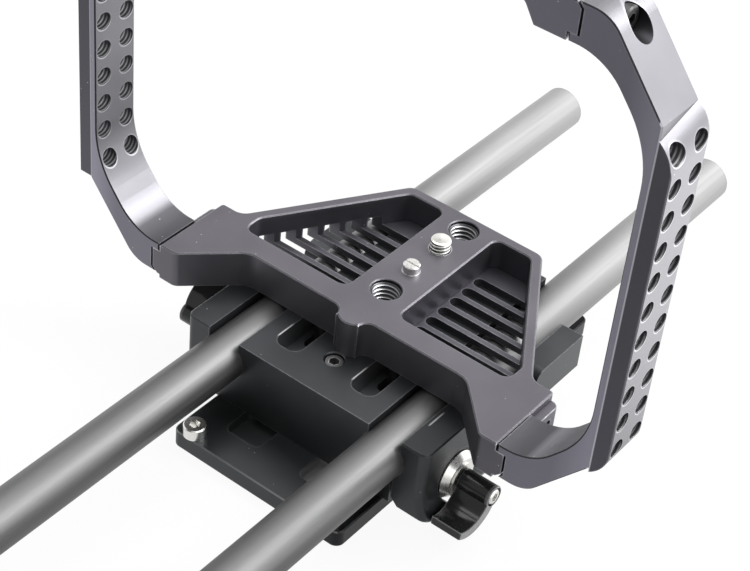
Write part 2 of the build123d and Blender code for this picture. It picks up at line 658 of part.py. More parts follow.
def make_right_clamp_screw():
    """Long M3 screw through the hub, washer and jaw into the base block."""
    shank = rod_x(LEVER_Y, LEVER_Z, CLAMP_TIP_X, CLAMP_SEAT_X + 0.01, CLAMP_R)
    shank = chamfer(shank.edges().group_by(Axis.X)[0], FASTENER_CHAMFER)
    end = CLAMP_SEAT_X + CLAMP_HEAD_H
    head = rod_x(LEVER_Y, LEVER_Z, CLAMP_SEAT_X, end, CLAMP_HEAD_R)
    head = chamfer(head.edges().group_by(Axis.X)[-1], FASTENER_CHAMFER)
    socket = hex_z(0, 0, -CLAMP_HEAD_H / 2, 1, CLAMP_SOCKET_AF)
    return shank + head - Pos(end, LEVER_Y, LEVER_Z) * Rot(0, 90, 0) * socket


def wing_face():
    """Outline of the lever's wing: a rounded back, a hollow face and a blunt tip."""
    r = HUB_R
    half = WING_TIP_T / 2
    tip_x = WING_REACH - half
    back = ThreePointArc((r * 0.3, r * 0.95), (WING_REACH * 0.56, WING_BELLY), (WING_REACH, half))
    tip = Line((WING_REACH, half), (tip_x, -half))
    hollow = ThreePointArc((tip_x, -half), (WING_REACH * 0.61, WING_HOLLOW), (r * 0.95, 0))
    root = Polyline((r * 0.95, 0), (0, 0), (r * 0.3, r * 0.95))
    return make_face([back, tip, hollow, root])


def make_right_lever(angle):
    """Wing lever: a round hub and a curved wing that tapers towards its tip."""
    half = HUB_LENGTH / 2
    hub = Cylinder(HUB_R, HUB_LENGTH)
    hub = chamfer(hub.edges(), FASTENER_CHAMFER)
    wing = Pos(0, 0, -half) * extrude(wing_face(), HUB_LENGTH)
    wing = chamfer(wing.faces().sort_by(Axis.Z)[-1].edges(), WING_CHAMFER)
    taper = [
        (HUB_R, -half),
        (WING_REACH + 1, half - WING_LENGTH),
        (WING_REACH + 1, -half - 1),
        (HUB_R, -half - 1),
    ]
    wing -= section(taper, -HUB_R - 1, WING_BELLY + 1, {})
    lever = hub + wing
    lever -= Cylinder(CLAMP_R + FIXED_CLEAR, HUB_LENGTH + 2)
    seat = half - (HUB_OUT_X - CLAMP_SEAT_X)
    lever -= Pos(0, 0, seat + half) * Cylinder(CLAMP_HEAD_R + FIXED_CLEAR, HUB_LENGTH)
    recess = HUB_LENGTH + 2 * HUB_RECESS_DEPTH
    lever -= Pos(0, 0, HUB_LENGTH) * Cylinder(HUB_RECESS_R, recess)
    turned = Rot(0, 90, 0) * Rot(0, 0, 90 + angle) * lever
    return Pos((HUB_IN_X + HUB_OUT_X) / 2, LEVER_Y, LEVER_Z) * turned


# ---------------------------------------------------------------- tripod plate
def make_tripod_plate():
    x = TRIPOD_HALF
    y0 = BLOCK_FRONT_Y - TRIPOD_OVERHANG
    y1 = BLOCK_REAR_Y + TRIPOD_OVERHANG
    plate = box(-x, x, y0, y1, TRIPOD_BOTTOM_Z, BLOCK_BOTTOM_Z)
    plate = fillet(plate.edges().filter_by(Axis.Z), TRIPOD_CORNER_R)
    plate = chamfer(plate.edges().group_by(Axis.Z)[-1], TRIPOD_CHAMFER)
    z0, z1 = TRIPOD_BOTTOM_Z - 1, BLOCK_BOTTOM_Z + 1
    floor_z = BLOCK_BOTTOM_Z - RECESS_DEPTH
    cuts = [
        slot_y(PAD_SLOT_X, RECESS_FRONT_Y, RECESS_BACK_Y, floor_z, z1, RECESS_W, RECESS_R),
        slot_y(PAD_SLOT_X, PAD_SLOT_FRONT_Y, PAD_SLOT_BACK_Y, z0, z1, PAD_SLOT_W, PAD_SLOT_R),
        rod_z(REAR_FIX_X, REAR_FIX_Y, z0, z1, M4_HEAD_R + HEAD_ROOM),
    ]
    for y in (FOOT_FIX_FRONT_Y, FOOT_FIX_REAR_Y):
        cuts.append(rod_z(FOOT_FIX_X, y, z0, z1, M4_R + HEAD_ROOM))
        csk_r = M4_CSK_R + FIXED_CLEAR
        csk_end = TRIPOD_BOTTOM_Z + M4_CSK_H + FIXED_CLEAR
        cuts.append(cone_z(FOOT_FIX_X, y, TRIPOD_BOTTOM_Z, csk_r, csk_end, M4_R + FIXED_CLEAR))
    cuts.append(rod_z(STOP_X, STOP_Y, z0, z1, M4_R + FIXED_CLEAR))
    for cut in cuts:
        plate -= both(cut)
    plate -= rod_z(0, 0, z0, z1, ACCESS_R)
    plate -= threaded(0, TRIPOD_HOLE_Y, TRIPOD_BOTTOM_Z, z1, THREE_EIGHTHS_R)
    plate -= threaded(0, TRIPOD_SMALL_Y, TRIPOD_BOTTOM_Z, z1, QUARTER_R)
    return plate


def make_tripod_plate_screws():
    """Four countersunk screws from below into the base block."""
    screws = []
    z0 = TRIPOD_BOTTOM_Z
    for y in (FOOT_FIX_FRONT_Y, FOOT_FIX_REAR_Y):
        screw = rod_z(FOOT_FIX_X, y, z0 + 0.5, z0 + FOOT_FIX_LENGTH, M4_R)
        screw += cone_z(FOOT_FIX_X, y, z0 + 0.1, M4_CSK_R - 0.1, z0 + M4_CSK_H, M4_R - 0.01)
        screw -= hex_z(FOOT_FIX_X, y, z0 - 1, z0 + M4_CSK_H * 0.8, M4_SOCKET_AF - 0.5)
        screws += both(screw)
    return Compound(screws)


def make_stop_screws():
    """Two socket screws in the front corners of the tripod plate."""
    length = TRIPOD_T - 0.4
    screw = Rot(180, 0, 0) * socket_screw(length, M4_R, M4_HEAD_R, M4_HEAD_H, M4_SOCKET_AF)
    return Compound(both(Pos(STOP_X, STOP_Y, BLOCK_BOTTOM_Z) * screw))


# ---------------------------------------------------------------- arms and crossbar
def arm_half_points():
    """Lower half of the right arm's outline: inner line, then outer line."""
    slope = math.radians(ARM_SLOPE_DEG)
    rise = math.tan(slope)
    bend_z = (ARM_INNER_X - ARM_BEND_X) * rise
    start_x = ARM_BEND_X + DIAGONAL_T / math.sin(slope)
    foot_x = start_x - ARM_END_T / rise
    outer_z = (STRAP_OUTER_X - start_x) * rise
    inner = [(PLATE_END_X + LAP_SEAM, 0), (ARM_BEND_X, 0), (ARM_INNER_X, bend_z)]
    outer = [(STRAP_OUTER_X, outer_z), (foot_x, -ARM_END_T), (PLATE_END_X + LAP_SEAM, -ARM_END_T)]
    return inner, outer


def upside_down(points):
    """The same outline points at the arm's other end."""
    return [(x, ARM_HEIGHT - z) for x, z in reversed(points)]


def arm_strap():
    """The bent strap with its two lapped ends, alike top and bottom."""
    inner, outer = arm_half_points()
    points = inner + upside_down(inner) + upside_down(outer) + outer
    radii = {1: ARM_FOOT_INNER_R, 2: ARM_BEND_R, 3: ARM_BEND_R, 4: ARM_FOOT_INNER_R}
    radii.update({7: ARM_FOOT_OUTER_R, 10: ARM_FOOT_OUTER_R})
    strap = section(points, ARM_FRONT_Y, ARM_BACK_Y, radii)
    strap = chamfer(strap.faces().filter_by(Axis.Y).edges(), ARM_CHAMFER)
    lap = lap_profile(LAP_OPEN)
    for outline in (lap, upside_down(lap)):
        strap -= section(outline, ARM_FRONT_Y - 1, ARM_BACK_Y + 1, {})
    for z in (ARM_SCREW_Z, ARM_HEIGHT - ARM_SCREW_Z):
        strap -= rod_x(ARM_Y, z, PLATE_END_X, ARM_OUTER_X, M4_R + HEAD_ROOM)
        strap -= rod_x(ARM_Y, z, ARM_SCREW_SEAT_X, STRAP_OUTER_X, M4_HEAD_R + HEAD_ROOM)
    return strap


def rail_bar(z0, z1):
    """The proud rail on the strap's outer face, with bevelled long edges."""
    y0 = ARM_FRONT_Y + RAIL_SETBACK
    y1 = ARM_BACK_Y - RAIL_SETBACK
    bar = box(STRAP_OUTER_X - 0.3, ARM_OUTER_X, y0, y1, z0, z1)
    return chamfer(bar.edges().filter_by(Axis.Z).group_by(Axis.X)[-1], ARM_CHAMFER)


def rail_round(z, up, tilt=0.0):
    """Cutter that rounds one end of a rail; the round starts at z on the outer face."""
    centre_x = ARM_OUTER_X - RAIL_ROUND_R
    y0 = ARM_FRONT_Y - RAIL_ROUND_R
    y1 = ARM_BACK_Y + RAIL_ROUND_R
    end = z + up * 2 * RAIL_ROUND_R
    cut = box(centre_x, ARM_OUTER_X + 1, y0, y1, min(z, end), max(z, end))
    cut -= rod_y(centre_x, z, y0 - 1, y1 + 1, RAIL_ROUND_R)
    return Pos(0, ARM_FRONT_Y, z) * Rot(tilt, 0, 0) * Pos(0, -ARM_FRONT_Y, -z) * cut


def right_rail():
    rail = rail_bar(RAIL_ROUND_Z - RAIL_ROUND_R, RAIL_TOP_ROUND_Z + 2 * RAIL_ROUND_R)
    rail -= rail_round(RAIL_ROUND_Z, -1)
    return rail - rail_round(RAIL_TOP_ROUND_Z, 1, RAIL_TOP_TILT_DEG)


def left_rail():
    return rail_bar(RAIL_END_Z, ARM_HEIGHT - RAIL_END_Z)


def make_arm(rail):
    """One arm, drawn as the right one: strap, rail and two rows of through holes."""
    arm = arm_strap() + rail
    first_z = ARM_MID_Z - ARM_HOLE_PITCH * (ARM_HOLE_ROWS - 1) / 2
    for i in range(ARM_HOLE_ROWS):
        for side in (-1, 1):
            y = ARM_Y + side * ARM_HOLE_SPACING / 2
            z = first_z + i * ARM_HOLE_PITCH
            arm -= rod_x(y, z, ARM_INNER_X - 8, ARM_OUTER_X + 1, ARM_HOLE_R)
    return arm


def make_arm_screws(z):
    """Two screws along X, one in each arm's end."""
    screw = Rot(0, -90, 0) * socket_screw(ARM_SCREW_LENGTH, M4_R, M4_HEAD_R, M4_HEAD_H, M4_SOCKET_AF)
    return Compound(both(Pos(ARM_SCREW_SEAT_X, ARM_Y, z) * screw))


def make_crossbar():
    """Top bar with thicker end blocks that lap with the arms."""
    top = CROSSBAR_TOP_Z
    low = ARM_HEIGHT
    half = [
        (0, top - BAR_T),
        (BAR_BLOCK_INNER_X - BAR_BLOCK_RISE, top - BAR_T),
        (BAR_BLOCK_INNER_X, low),
        (PLATE_END_X, low),
        (PLATE_END_X, low + LAP_Z),
        (TONGUE_X, low + LAP_Z),
        (TONGUE_X, top - TONGUE_BEVEL),
        (TONGUE_X - TONGUE_BEVEL, top),
        (0, top),
    ]
    bar = section(half, ARM_FRONT_Y, ARM_BACK_Y, {1: 2.0})
    bar += mirrored(bar)
    sides = bar.faces().filter_by(Axis.Y)
    bar = chamfer(sides.edges().group_by(Axis.Z)[-1], BAR_CHAMFER)
    bar -= both(arm_screw_thread(ARM_HEIGHT - ARM_SCREW_Z))
    span = BAR_HOLE_PITCH * (BAR_HOLE_COUNT - 1)
    for i in range(BAR_HOLE_COUNT):
        x = i * BAR_HOLE_PITCH - span / 2
        bar -= threaded(x, ARM_Y, top, top - BAR_T - 1, QUARTER_R)
    return bar


# ---------------------------------------------------------------- output
def save(shape, name):
    shape.label = name
    export_step(shape, f"parts/{name}.step")


save(make_camera_plate(), "camera_plate")
save(make_camera_screw(), "camera_screw")
save(make_camera_screw_clip(), "camera_screw_clip")
save(make_locating_pin(), "locating_pin")
save(make_plate_fixing_screws(), "plate_fixing_screws")
save(make_base_block(), "base_block")
save(make_pad_set_screw(), "pad_set_screw")
save(make_rod(-1), "left_rod")
save(make_rod(1), "right_rod")
save(make_right_jaw(), "right_clamp_jaw")
save(mirrored(make_right_jaw()), "left_clamp_jaw")
save(make_right_washer(), "right_clamp_washer")
save(mirrored(make_right_washer()), "left_clamp_washer")
save(make_right_clamp_screw(), "right_clamp_screw")
save(mirrored(make_right_clamp_screw()), "left_clamp_screw")
save(make_right_lever(RIGHT_LEVER_DEG), "right_clamp_lever")
save(mirrored(make_right_lever(LEFT_LEVER_DEG)), "left_clamp_lever")
save(make_tripod_plate(), "tripod_plate")
save(make_tripod_plate_screws(), "tripod_plate_screws")
save(make_stop_screws(), "stop_screws")
save(make_arm(right_rail()), "right_arm")
save(mirrored(make_arm(left_rail())), "left_arm")
save(make_arm_screws(ARM_SCREW_Z), "lower_arm_screws")
save(make_arm_screws(ARM_HEIGHT - ARM_SCREW_Z), "upper_arm_screws")
save(make_crossbar(), "crossbar")
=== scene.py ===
import math

import bpy
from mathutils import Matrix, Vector


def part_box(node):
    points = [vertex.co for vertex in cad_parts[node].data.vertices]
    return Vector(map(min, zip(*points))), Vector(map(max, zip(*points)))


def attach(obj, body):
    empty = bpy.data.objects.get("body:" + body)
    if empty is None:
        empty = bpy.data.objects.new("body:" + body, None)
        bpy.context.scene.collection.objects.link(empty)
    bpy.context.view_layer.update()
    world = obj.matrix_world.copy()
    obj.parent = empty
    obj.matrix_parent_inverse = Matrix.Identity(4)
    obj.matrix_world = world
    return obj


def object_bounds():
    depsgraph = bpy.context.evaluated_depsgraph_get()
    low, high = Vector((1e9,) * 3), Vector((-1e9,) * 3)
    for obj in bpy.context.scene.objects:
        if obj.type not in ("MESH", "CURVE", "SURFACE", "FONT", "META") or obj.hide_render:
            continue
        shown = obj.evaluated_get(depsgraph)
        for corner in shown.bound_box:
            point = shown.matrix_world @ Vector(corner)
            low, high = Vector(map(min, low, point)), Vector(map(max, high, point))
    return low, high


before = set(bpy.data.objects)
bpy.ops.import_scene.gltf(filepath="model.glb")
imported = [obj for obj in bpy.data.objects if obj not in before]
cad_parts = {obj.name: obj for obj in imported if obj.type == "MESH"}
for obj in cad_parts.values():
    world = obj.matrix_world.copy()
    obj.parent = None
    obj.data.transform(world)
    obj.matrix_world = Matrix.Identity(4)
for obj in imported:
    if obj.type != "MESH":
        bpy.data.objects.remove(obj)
cad_low, cad_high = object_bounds()
bpy.ops.object.select_all(action="DESELECT")

# ------------------------------------------------------------------------------------
# Camera plate: milled from aluminium bar, bead blasted and anodised black. Four screws
# hold it on the base block. Sizes are in millimetres, and places are measured from the
# camera screw's axis on the plate's top face.

MM = 0.001
POCKET_INNER_X, POCKET_OUTER_X = 9.8, 49.25
POCKET_FRONT_Y, POCKET_REAR_Y = -33.95, 16.05
POCKET_RIM_Z = -1.3
SHELTERED_Z = -2.5
SHELTER_DEPTH = 2.0
RIGHT_WING_X = 45.0
BIG_HOLES_Y = (-26.75, 12.4)
BIG_HOLE_ROOT_R = 4.845
CORNER_SHADE_BLACK = (0.01, 0.01, 0.011)
DUST_GREY = (0.7, 0.7, 0.7)
POCKET_SHADE = (0.035, 0.038, 0.05)
WING_SHADE = (0.06, 0.058, 0.066)
HOLE_SHADE = (0.008, 0.008, 0.009)


class Socket:
    """One shader output, so that node maths can be written as an expression."""

    def __init__(self, tree, output):
        self.tree = tree
        self.output = output

    def node(self, kind, settings=None, **inputs):
        """Add a node; an input goes by its name, or by i and its number."""
        made = self.tree.nodes.new(kind)
        for name, value in (settings or {}).items():
            setattr(made, name, value)
        for name, value in inputs.items():
            numbered = name[0] == "i" and name[1:].isdigit()
            key = int(name[1:]) if numbered else name.replace("_", " ")
            if isinstance(value, Socket):
                self.tree.links.new(value.output, made.inputs[key])
            else:
                made.inputs[key].default_value = value
        return made

    def take(self, kind, out, settings=None, **inputs):
        """Add a node and keep one of its outputs."""
        return Socket(self.tree, self.node(kind, settings, **inputs).outputs[out])

    def maths(self, operation, a, b=0.0, c=0.0):
        return self.take("ShaderNodeMath", 0, {"operation": operation}, i0=a, i1=b, i2=c)

    def __add__(self, other):
        return self.maths("ADD", self, other)

    __radd__ = __add__

    def __sub__(self, other):
        return self.maths("SUBTRACT", self, other)

    def __rsub__(self, other):
        return self.maths("SUBTRACT", other, self)

    def __mul__(self, other):
        return self.maths("MULTIPLY", self, other)

    __rmul__ = __mul__

    def __abs__(self):
        return self.maths("ABSOLUTE", self)

    def ramp(self, low, high, to_low=0.0, to_high=1.0):
        return self.take(
            "ShaderNodeMapRange", 0, None,
            Value=self, i1=low, i2=high, i3=to_low, i4=to_high,
        )


def new_material(name):
    """A material, its shader and its Object coordinates."""
    material = bpy.data.materials.new(name)
    material.use_nodes = True
    tree = material.node_tree
    shader = next(n for n in tree.nodes if n.type == "BSDF_PRINCIPLED")
    where = tree.nodes.new("ShaderNodeTexCoord")
    return material, shader, Socket(tree, where.outputs["Object"])


def feed(shader, name, value):
    shader.id_data.links.new(value.output, shader.inputs[name])


def set_bump(shader, place, height, strength, distance):
    bump = place.take(
        "ShaderNodeBump", 0, None, Strength=strength, Distance=distance, Height=height
    )
    feed(shader, "Normal", bump)


def part_of(place, axis):
    return place.take("ShaderNodeSeparateXYZ", axis, None, Vector=place)


def blend(factor, a, b):
    """Mix two colours, each a Socket or three plain numbers."""
    a = a if isinstance(a, Socket) else (*a, 1.0)
    b = b if isinstance(b, Socket) else (*b, 1.0)
    return factor.take("ShaderNodeMix", 2, {"data_type": "RGBA"}, i0=factor, i6=a, i7=b)


def noise(place, scale, detail):
    return place.take("ShaderNodeTexNoise", 0, None, Vector=place, Scale=scale, Detail=detail)


def past(value, place, soft):
    """0 short of a place and 1 past it, blended over soft; both in millimetres."""
    return value.ramp((place - soft / 2) * MM, (place + soft / 2) * MM)


def short_of(value, place, soft):
    """1 short of a place and 0 past it, blended over soft; both in millimetres."""
    return value.ramp((place + soft / 2) * MM, (place - soft / 2) * MM)


def inside(squared, radius, soft):
    """1 inside a circle, from the squared distance to its middle."""
    return squared.ramp(((radius + soft / 2) * MM) ** 2, ((radius - soft / 2) * MM) ** 2)


def broken_edges(place, width):
    """About 1 on outer edges, for worn metal and painted highlights; rays cast inward escape a
    thin place quickly.
    """
    inward = place.take(
        "ShaderNodeAmbientOcclusion", "AO",
        {"inside": True, "only_local": True, "samples": 6}, Distance=width,
    )
    return inward.ramp(0.86, 0.55)


def painted_corner_shade(place, width):
    """About 1 in seams and inner corners, where painted shade darkens the colour."""
    outward = place.take(
        "ShaderNodeAmbientOcclusion", "AO", {"only_local": False, "samples": 6}, Distance=width
    )
    return outward.ramp(0.75, 0.35)


def anodised_metal(
    name, dark, light, edge, roughness, edge_wear_and_highlight=0.8, detail=None, sheltered_z=None
):
    """Black anodised metal: blasted grain, haze, dust, worn edges with painted highlights, and
    painted shade in seams.

    Haze wanders between the dark and the light tone, and edge is the colour of outer edges:
    metal that rubbing uncovers, and painted highlights. detail adds a piece's own marks and
    its painted light and shade. Edges below sheltered_z get little of the edge colour.
    """
    material, shader, place = new_material(name)
    grain = noise(place, 5200.0, 2.0)
    haze = noise(place, 38.0, 3.0)
    chips = noise(place, 700.0, 2.0)
    body = blend(haze.ramp(0.3, 0.7), dark, light)
    # Painted shade in seams and inner corners.
    shaded = blend(painted_corner_shade(place, 0.6 * MM) * 0.7, body, CORNER_SHADE_BLACK)
    if detail:
        shaded = detail(place, shaded)
    specks = place.take("ShaderNodeTexVoronoi", "Distance", None, Vector=place, Scale=240.0)
    dusty = blend(specks.ramp(0.05, 0.03) * haze.ramp(0.42, 0.52) * 0.7, shaded, DUST_GREY)
    # Edge colour: worn metal, and painted highlights on the outer edges.
    rubbed_and_highlit = broken_edges(place, 0.5 * MM) * chips.ramp(0.3, 0.6, 0.45, 1.0) * edge_wear_and_highlight
    if sheltered_z is not None:
        depth = part_of(place, 2)
        bottom = sheltered_z - SHELTER_DEPTH
        rubbed_and_highlit = rubbed_and_highlit * depth.ramp(bottom * MM, sheltered_z * MM, 0.3, 1.0)
    feed(shader, "Base Color", blend(rubbed_and_highlit, dusty, edge))
    feed(shader, "Roughness", haze.ramp(0.25, 0.75, roughness - 0.03, roughness + 0.05))
    shader.inputs["Metallic"].default_value = 0.85
    set_bump(shader, place, grain, 0.25, 0.04 * MM)
    return material


def plate_detail(place, colour):
    """Painted shade: darker in the pockets and big holes, and a little darker on the right
    wing.
    """
    x, y, z = (part_of(place, axis) for axis in range(3))
    outward = abs(x)
    pocket = past(outward, POCKET_INNER_X, 0.2) * short_of(outward, POCKET_OUTER_X, 0.3)
    pocket = pocket * past(y, POCKET_FRONT_Y, 0.3) * short_of(y, POCKET_REAR_Y, 0.3)
    pocket = pocket * short_of(z, POCKET_RIM_Z, 1.4)
    # Painted shade in the pockets.
    colour = blend(pocket * 0.3, colour, POCKET_SHADE)
    # Painted shade on the right wing, where the light falls off.
    colour = blend(past(x, RIGHT_WING_X, 30.0) * 0.3, colour, WING_SHADE)
    # Painted shade on the walls of the big holes.
    for hole_y in BIG_HOLES_Y:
        off = y - hole_y * MM
        root = inside(x * x + off * off, BIG_HOLE_ROOT_R, 0.05)
        colour = blend(root * 0.9, colour, HOLE_SHADE)
    return colour


def paint(material, *nodes):
    """Give CAD pieces their finish."""
    for name in nodes:
        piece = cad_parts[name]
        piece.data.materials.clear()
        piece.data.materials.append(material)


plate_black = anodised_metal(
    "plate_black", dark=(0.125, 0.12, 0.135), light=(0.15, 0.143, 0.16),
    edge=(0.75, 0.75, 0.78), roughness=0.42, edge_wear_and_highlight=1.0,
    detail=plate_detail, sheltered_z=SHELTERED_Z,
)
paint(plate_black, "camera_plate")

# ------------------------------------------------------------------------------------
# Arms and top bar: straps milled from aluminium and anodised a lighter black, with a
# raised rail and two rows of 1/4 inch tapped holes. Screws hold them end to end.

ARM_MID_Y = -49.5
HOLE_ROW_Y = 4.6
HOLE_FIRST_Z, HOLE_PITCH = 18.15, 9.4
HOLES_BOTTOM_Z, HOLES_TOP_Z = 14.3, 116.0
HOLE_R, HOLE_MOUTH_R = 2.81, 3.18
QUARTER_INCH_PITCH = 1.27
END_BORES_MID_Z, END_BORES_HALF_Z = 65.15, 72.25
END_BORE_R = 3.805
FOOT_END_X, FOOT_TOP_Z = 72.35, 11.75
FRONT_FACE_Y = -57.68
FRONT_BEVEL_Y = -57.32
RAIL_X = 90.8
STRAP_BEND_X, STRAP_UPRIGHT_X = 84.5, 89.85
LIP_HIGHLIGHT = (0.6, 0.6, 0.63)
CREST_SHADED, CREST_LIT = (0.11, 0.11, 0.125), (0.95, 0.95, 0.97)
BORE_SHADE = (0.02, 0.02, 0.024)
FOOT_BLACK = (0.04, 0.04, 0.046)
BEVEL_SHADE, BEVEL_HIGHLIGHT = (0.015, 0.015, 0.018), (0.55, 0.55, 0.6)
FRONT_SHADED, FRONT_LIT = (0.17, 0.165, 0.215), (0.33, 0.32, 0.40)
RAIL_FRONT_SHADE = (0.045, 0.043, 0.06)


def nearest(value, first, pitch):
    """Signed distance to the nearest of a row of places; first and pitch in mm."""
    steps = (value - first * MM) * (1.0 / (pitch * MM)) + 0.5
    return (steps.maths("FRACT", steps) - 0.5) * (pitch * MM)


def thread_lines(run, u, v, pitch):
    """0 in the valleys and 1 on the crests of a thread round the axis u = v = 0."""
    turn = u.maths("ARCTAN2", u, v) * (0.5 / math.pi)
    phase = run * (1.0 / (pitch * MM)) + turn
    return phase.maths("PINGPONG", phase, 0.5) * 2.0


def arm_detail(place, colour):
    """Painted threads and lip highlights in the tapped holes, painted shade in the end bores,
    darker feet, and painted light and shade on the front faces and bevel.
    """
    x, y, z = (part_of(place, axis) for axis in range(3))
    outward = abs(x)
    across = y - ARM_MID_Y * MM

    dy = abs(across) - HOLE_ROW_Y * MM
    dz = nearest(z, HOLE_FIRST_Z, HOLE_PITCH)
    off = dy * dy + dz * dz
    rows = past(z, HOLES_BOTTOM_Z, 0.2) * short_of(z, HOLES_TOP_Z, 0.2)
    # Painted highlight on the lower lip of each hole's mouth.
    lip = inside(off, HOLE_MOUTH_R, 0.08) * rows * short_of(dz, -1.5, 2.2) * 0.7
    colour = blend(lip, colour, LIP_HIGHLIGHT)
    # Painted thread in each hole: lit crests low down, dim crests above, painted shade in the
    # valleys.
    lines = thread_lines(outward, dy, dz, QUARTER_INCH_PITCH)
    crest = blend(short_of(dz, -0.9, 2.2), CREST_SHADED, CREST_LIT)
    threads = blend(lines.ramp(0.45, 0.8), BORE_SHADE, crest)
    colour = blend(inside(off, HOLE_R, 0.06) * rows, colour, threads)

    foot = short_of(outward, FOOT_END_X, 2.3) * short_of(z, FOOT_TOP_Z, 1.5)
    foot = foot * past(y, FRONT_FACE_Y + 0.38, 0.2)
    colour = blend(foot * 0.72, colour, FOOT_BLACK)

    # Painted shade in the end bores.
    end = abs(z - END_BORES_MID_Z * MM) - END_BORES_HALF_Z * MM
    bore = inside(end * end + across * across, END_BORE_R, 0.09)
    colour = blend(bore * 0.85, colour, BORE_SHADE)

    # Painted shade and painted highlight on the front bevel: a dark line along the bend, a
    # bright one on the upright.
    bevel = past(y, FRONT_FACE_Y, 0.02) * short_of(y, FRONT_BEVEL_Y, 0.02)
    bevel = bevel * short_of(outward, RAIL_X, 0.2)
    bevel_light = blend(past(outward, STRAP_UPRIGHT_X, 0.3), BEVEL_SHADE, BEVEL_HIGHLIGHT)
    colour = blend(bevel * 0.9, colour, bevel_light)
    # Painted light on the front faces, as they mirror the floor: darker at the bend, lighter
    # on the upright.
    front = blend(past(outward, STRAP_BEND_X, 9.0), FRONT_SHADED, FRONT_LIT)
    colour = blend(short_of(y, FRONT_FACE_Y + 0.02, 0.04) * 0.6, colour, front)
    # Painted shade on the rail's front face.
    rail_front = past(outward, RAIL_X, 0.2) * short_of(y, FRONT_FACE_Y + 0.28, 0.1)
    return blend(rail_front * 0.72, colour, RAIL_FRONT_SHADE)


arm_black = anodised_metal(
    "arm_black", dark=(0.195, 0.192, 0.207), light=(0.235, 0.231, 0.248),
    edge=(0.6, 0.6, 0.63), roughness=0.42, edge_wear_and_highlight=0.35, detail=arm_detail,
)
paint(arm_black, "left_arm", "right_arm", "crossbar")

# ------------------------------------------------------------------------------------
# Base block, clamp jaws and tripod plate: milled aluminium, anodised a deep black. The
# plate closes the block from below, and each jaw slides out from it on a guide key.

SIDE_MID_X = 14.0
PAD_TOP_Z = -13.0
SLOT_HALF_X = 4.6
SLOT_FRONT_Y, SLOT_REAR_Y = -56.1, -29.9
GLINT_OUTER_X, GLINT_INNER_X = -4.975, -4.485
GLINT_FRONT_Y, GLINT_REAR_Y = -53.0, -46.25
RIGHT_JAW_X = 34.45
PLATE_TOP_Z = -37.315
PLATE_BEVEL_Z = -37.7
PLATE_FRONT_Y = -83.65
RECESS_HALF_X = 6.5
RECESS_FRONT_Y, RECESS_REAR_Y = -74.1, -61.9
GLINT_BRIGHT = (0.8, 0.8, 0.8)
SLOT_FILL_LIGHT = (0.24, 0.25, 0.26)
PLATE_SHADE_BLACK = (0.006, 0.006, 0.007)
JAW_TOP_SHADE = (0.012, 0.012, 0.013)
PLATE_BEVEL_HIGHLIGHT = (0.22, 0.225, 0.23)
RECESS_LIT, RECESS_HIGHLIGHT = (0.13, 0.135, 0.14), (0.55, 0.55, 0.56)


def base_detail(place, colour):
    """Painted light and shade: shade on the tripod plate's right part and the right jaw's top,
    a glint in the pad's slots, and lighter slots, front bevel and recesses.
    """
    x, y, z = (part_of(place, axis) for axis in range(3))
    # Painted shade on the right part of the tripod plate's top.
    shade = past(x, 20.0, 4.0) * short_of(z, PLATE_TOP_Z + 0.09, 0.25)
    colour = blend(shade * 0.75, colour, PLATE_SHADE_BLACK)

    # Painted glint along one wall of each pad slot.
    from_slot = nearest(x, SIDE_MID_X, 2 * SIDE_MID_X)
    glint = past(from_slot, GLINT_OUTER_X, 0.15) * short_of(from_slot, GLINT_INNER_X, 0.13)
    glint = glint * past(y, GLINT_FRONT_Y, 1.0) * short_of(y, GLINT_REAR_Y, 1.5)
    colour = blend(glint * past(z, PAD_TOP_Z, 0.2) * 0.8, colour, GLINT_BRIGHT)

    # Painted shade on the right jaw's top.
    jaw_top = past(x, RIGHT_JAW_X, 0.3) * past(z, PAD_TOP_Z - 0.3, 0.2)
    colour = blend(jaw_top * 0.5, colour, JAW_TOP_SHADE)

    # Painted fill light in the pad's slots, lighter than their shade.
    side = abs(abs(x) - SIDE_MID_X * MM)
    slot = short_of(side, SLOT_HALF_X, 0.2) * short_of(z, PAD_TOP_Z - 0.2, 0.6)
    slot = slot * past(y, SLOT_FRONT_Y, 0.2) * short_of(y, SLOT_REAR_Y, 0.2)
    colour = blend(slot * 0.8, colour, SLOT_FILL_LIGHT)

    # Painted highlight on the tripod plate's front bevel.
    bevel = past(z, PLATE_BEVEL_Z, 0.04) * short_of(z, PLATE_TOP_Z, 0.03)
    colour = blend(bevel * short_of(y, PLATE_FRONT_Y, 0.3), colour, PLATE_BEVEL_HIGHLIGHT)

    # Painted light in the tripod plate's recesses, with a painted highlight in the right one.
    recess = short_of(side, RECESS_HALF_X, 0.2) * short_of(z, PLATE_BEVEL_Z + 0.1, 0.4)
    recess = recess * past(y, RECESS_FRONT_Y, 0.2) * short_of(y, RECESS_REAR_Y, 0.2)
    recess_light = blend(past(x, 0.5, 1.0), RECESS_LIT, RECESS_HIGHLIGHT)
    return blend(recess * 0.7, colour, recess_light)


base_black = anodised_metal(
    "base_black", dark=(0.045, 0.048, 0.051), light=(0.062, 0.065, 0.069),
    edge=(0.30, 0.30, 0.31), roughness=0.40, edge_wear_and_highlight=0.6, detail=base_detail,
)
paint(base_black, "base_block", "left_clamp_jaw", "right_clamp_jaw", "tripod_plate")

# ------------------------------------------------------------------------------------
# Support rods: two 15 mm tubes, ground and anodised in a satin titanium grey.
# They pass through the base block and are held by its sliding jaws.

# Painted light on the rods behind the base block, blended in over this span.
REAR_LIGHT_MID_Y, REAR_LIGHT_LENGTH = 40.0, 80.0


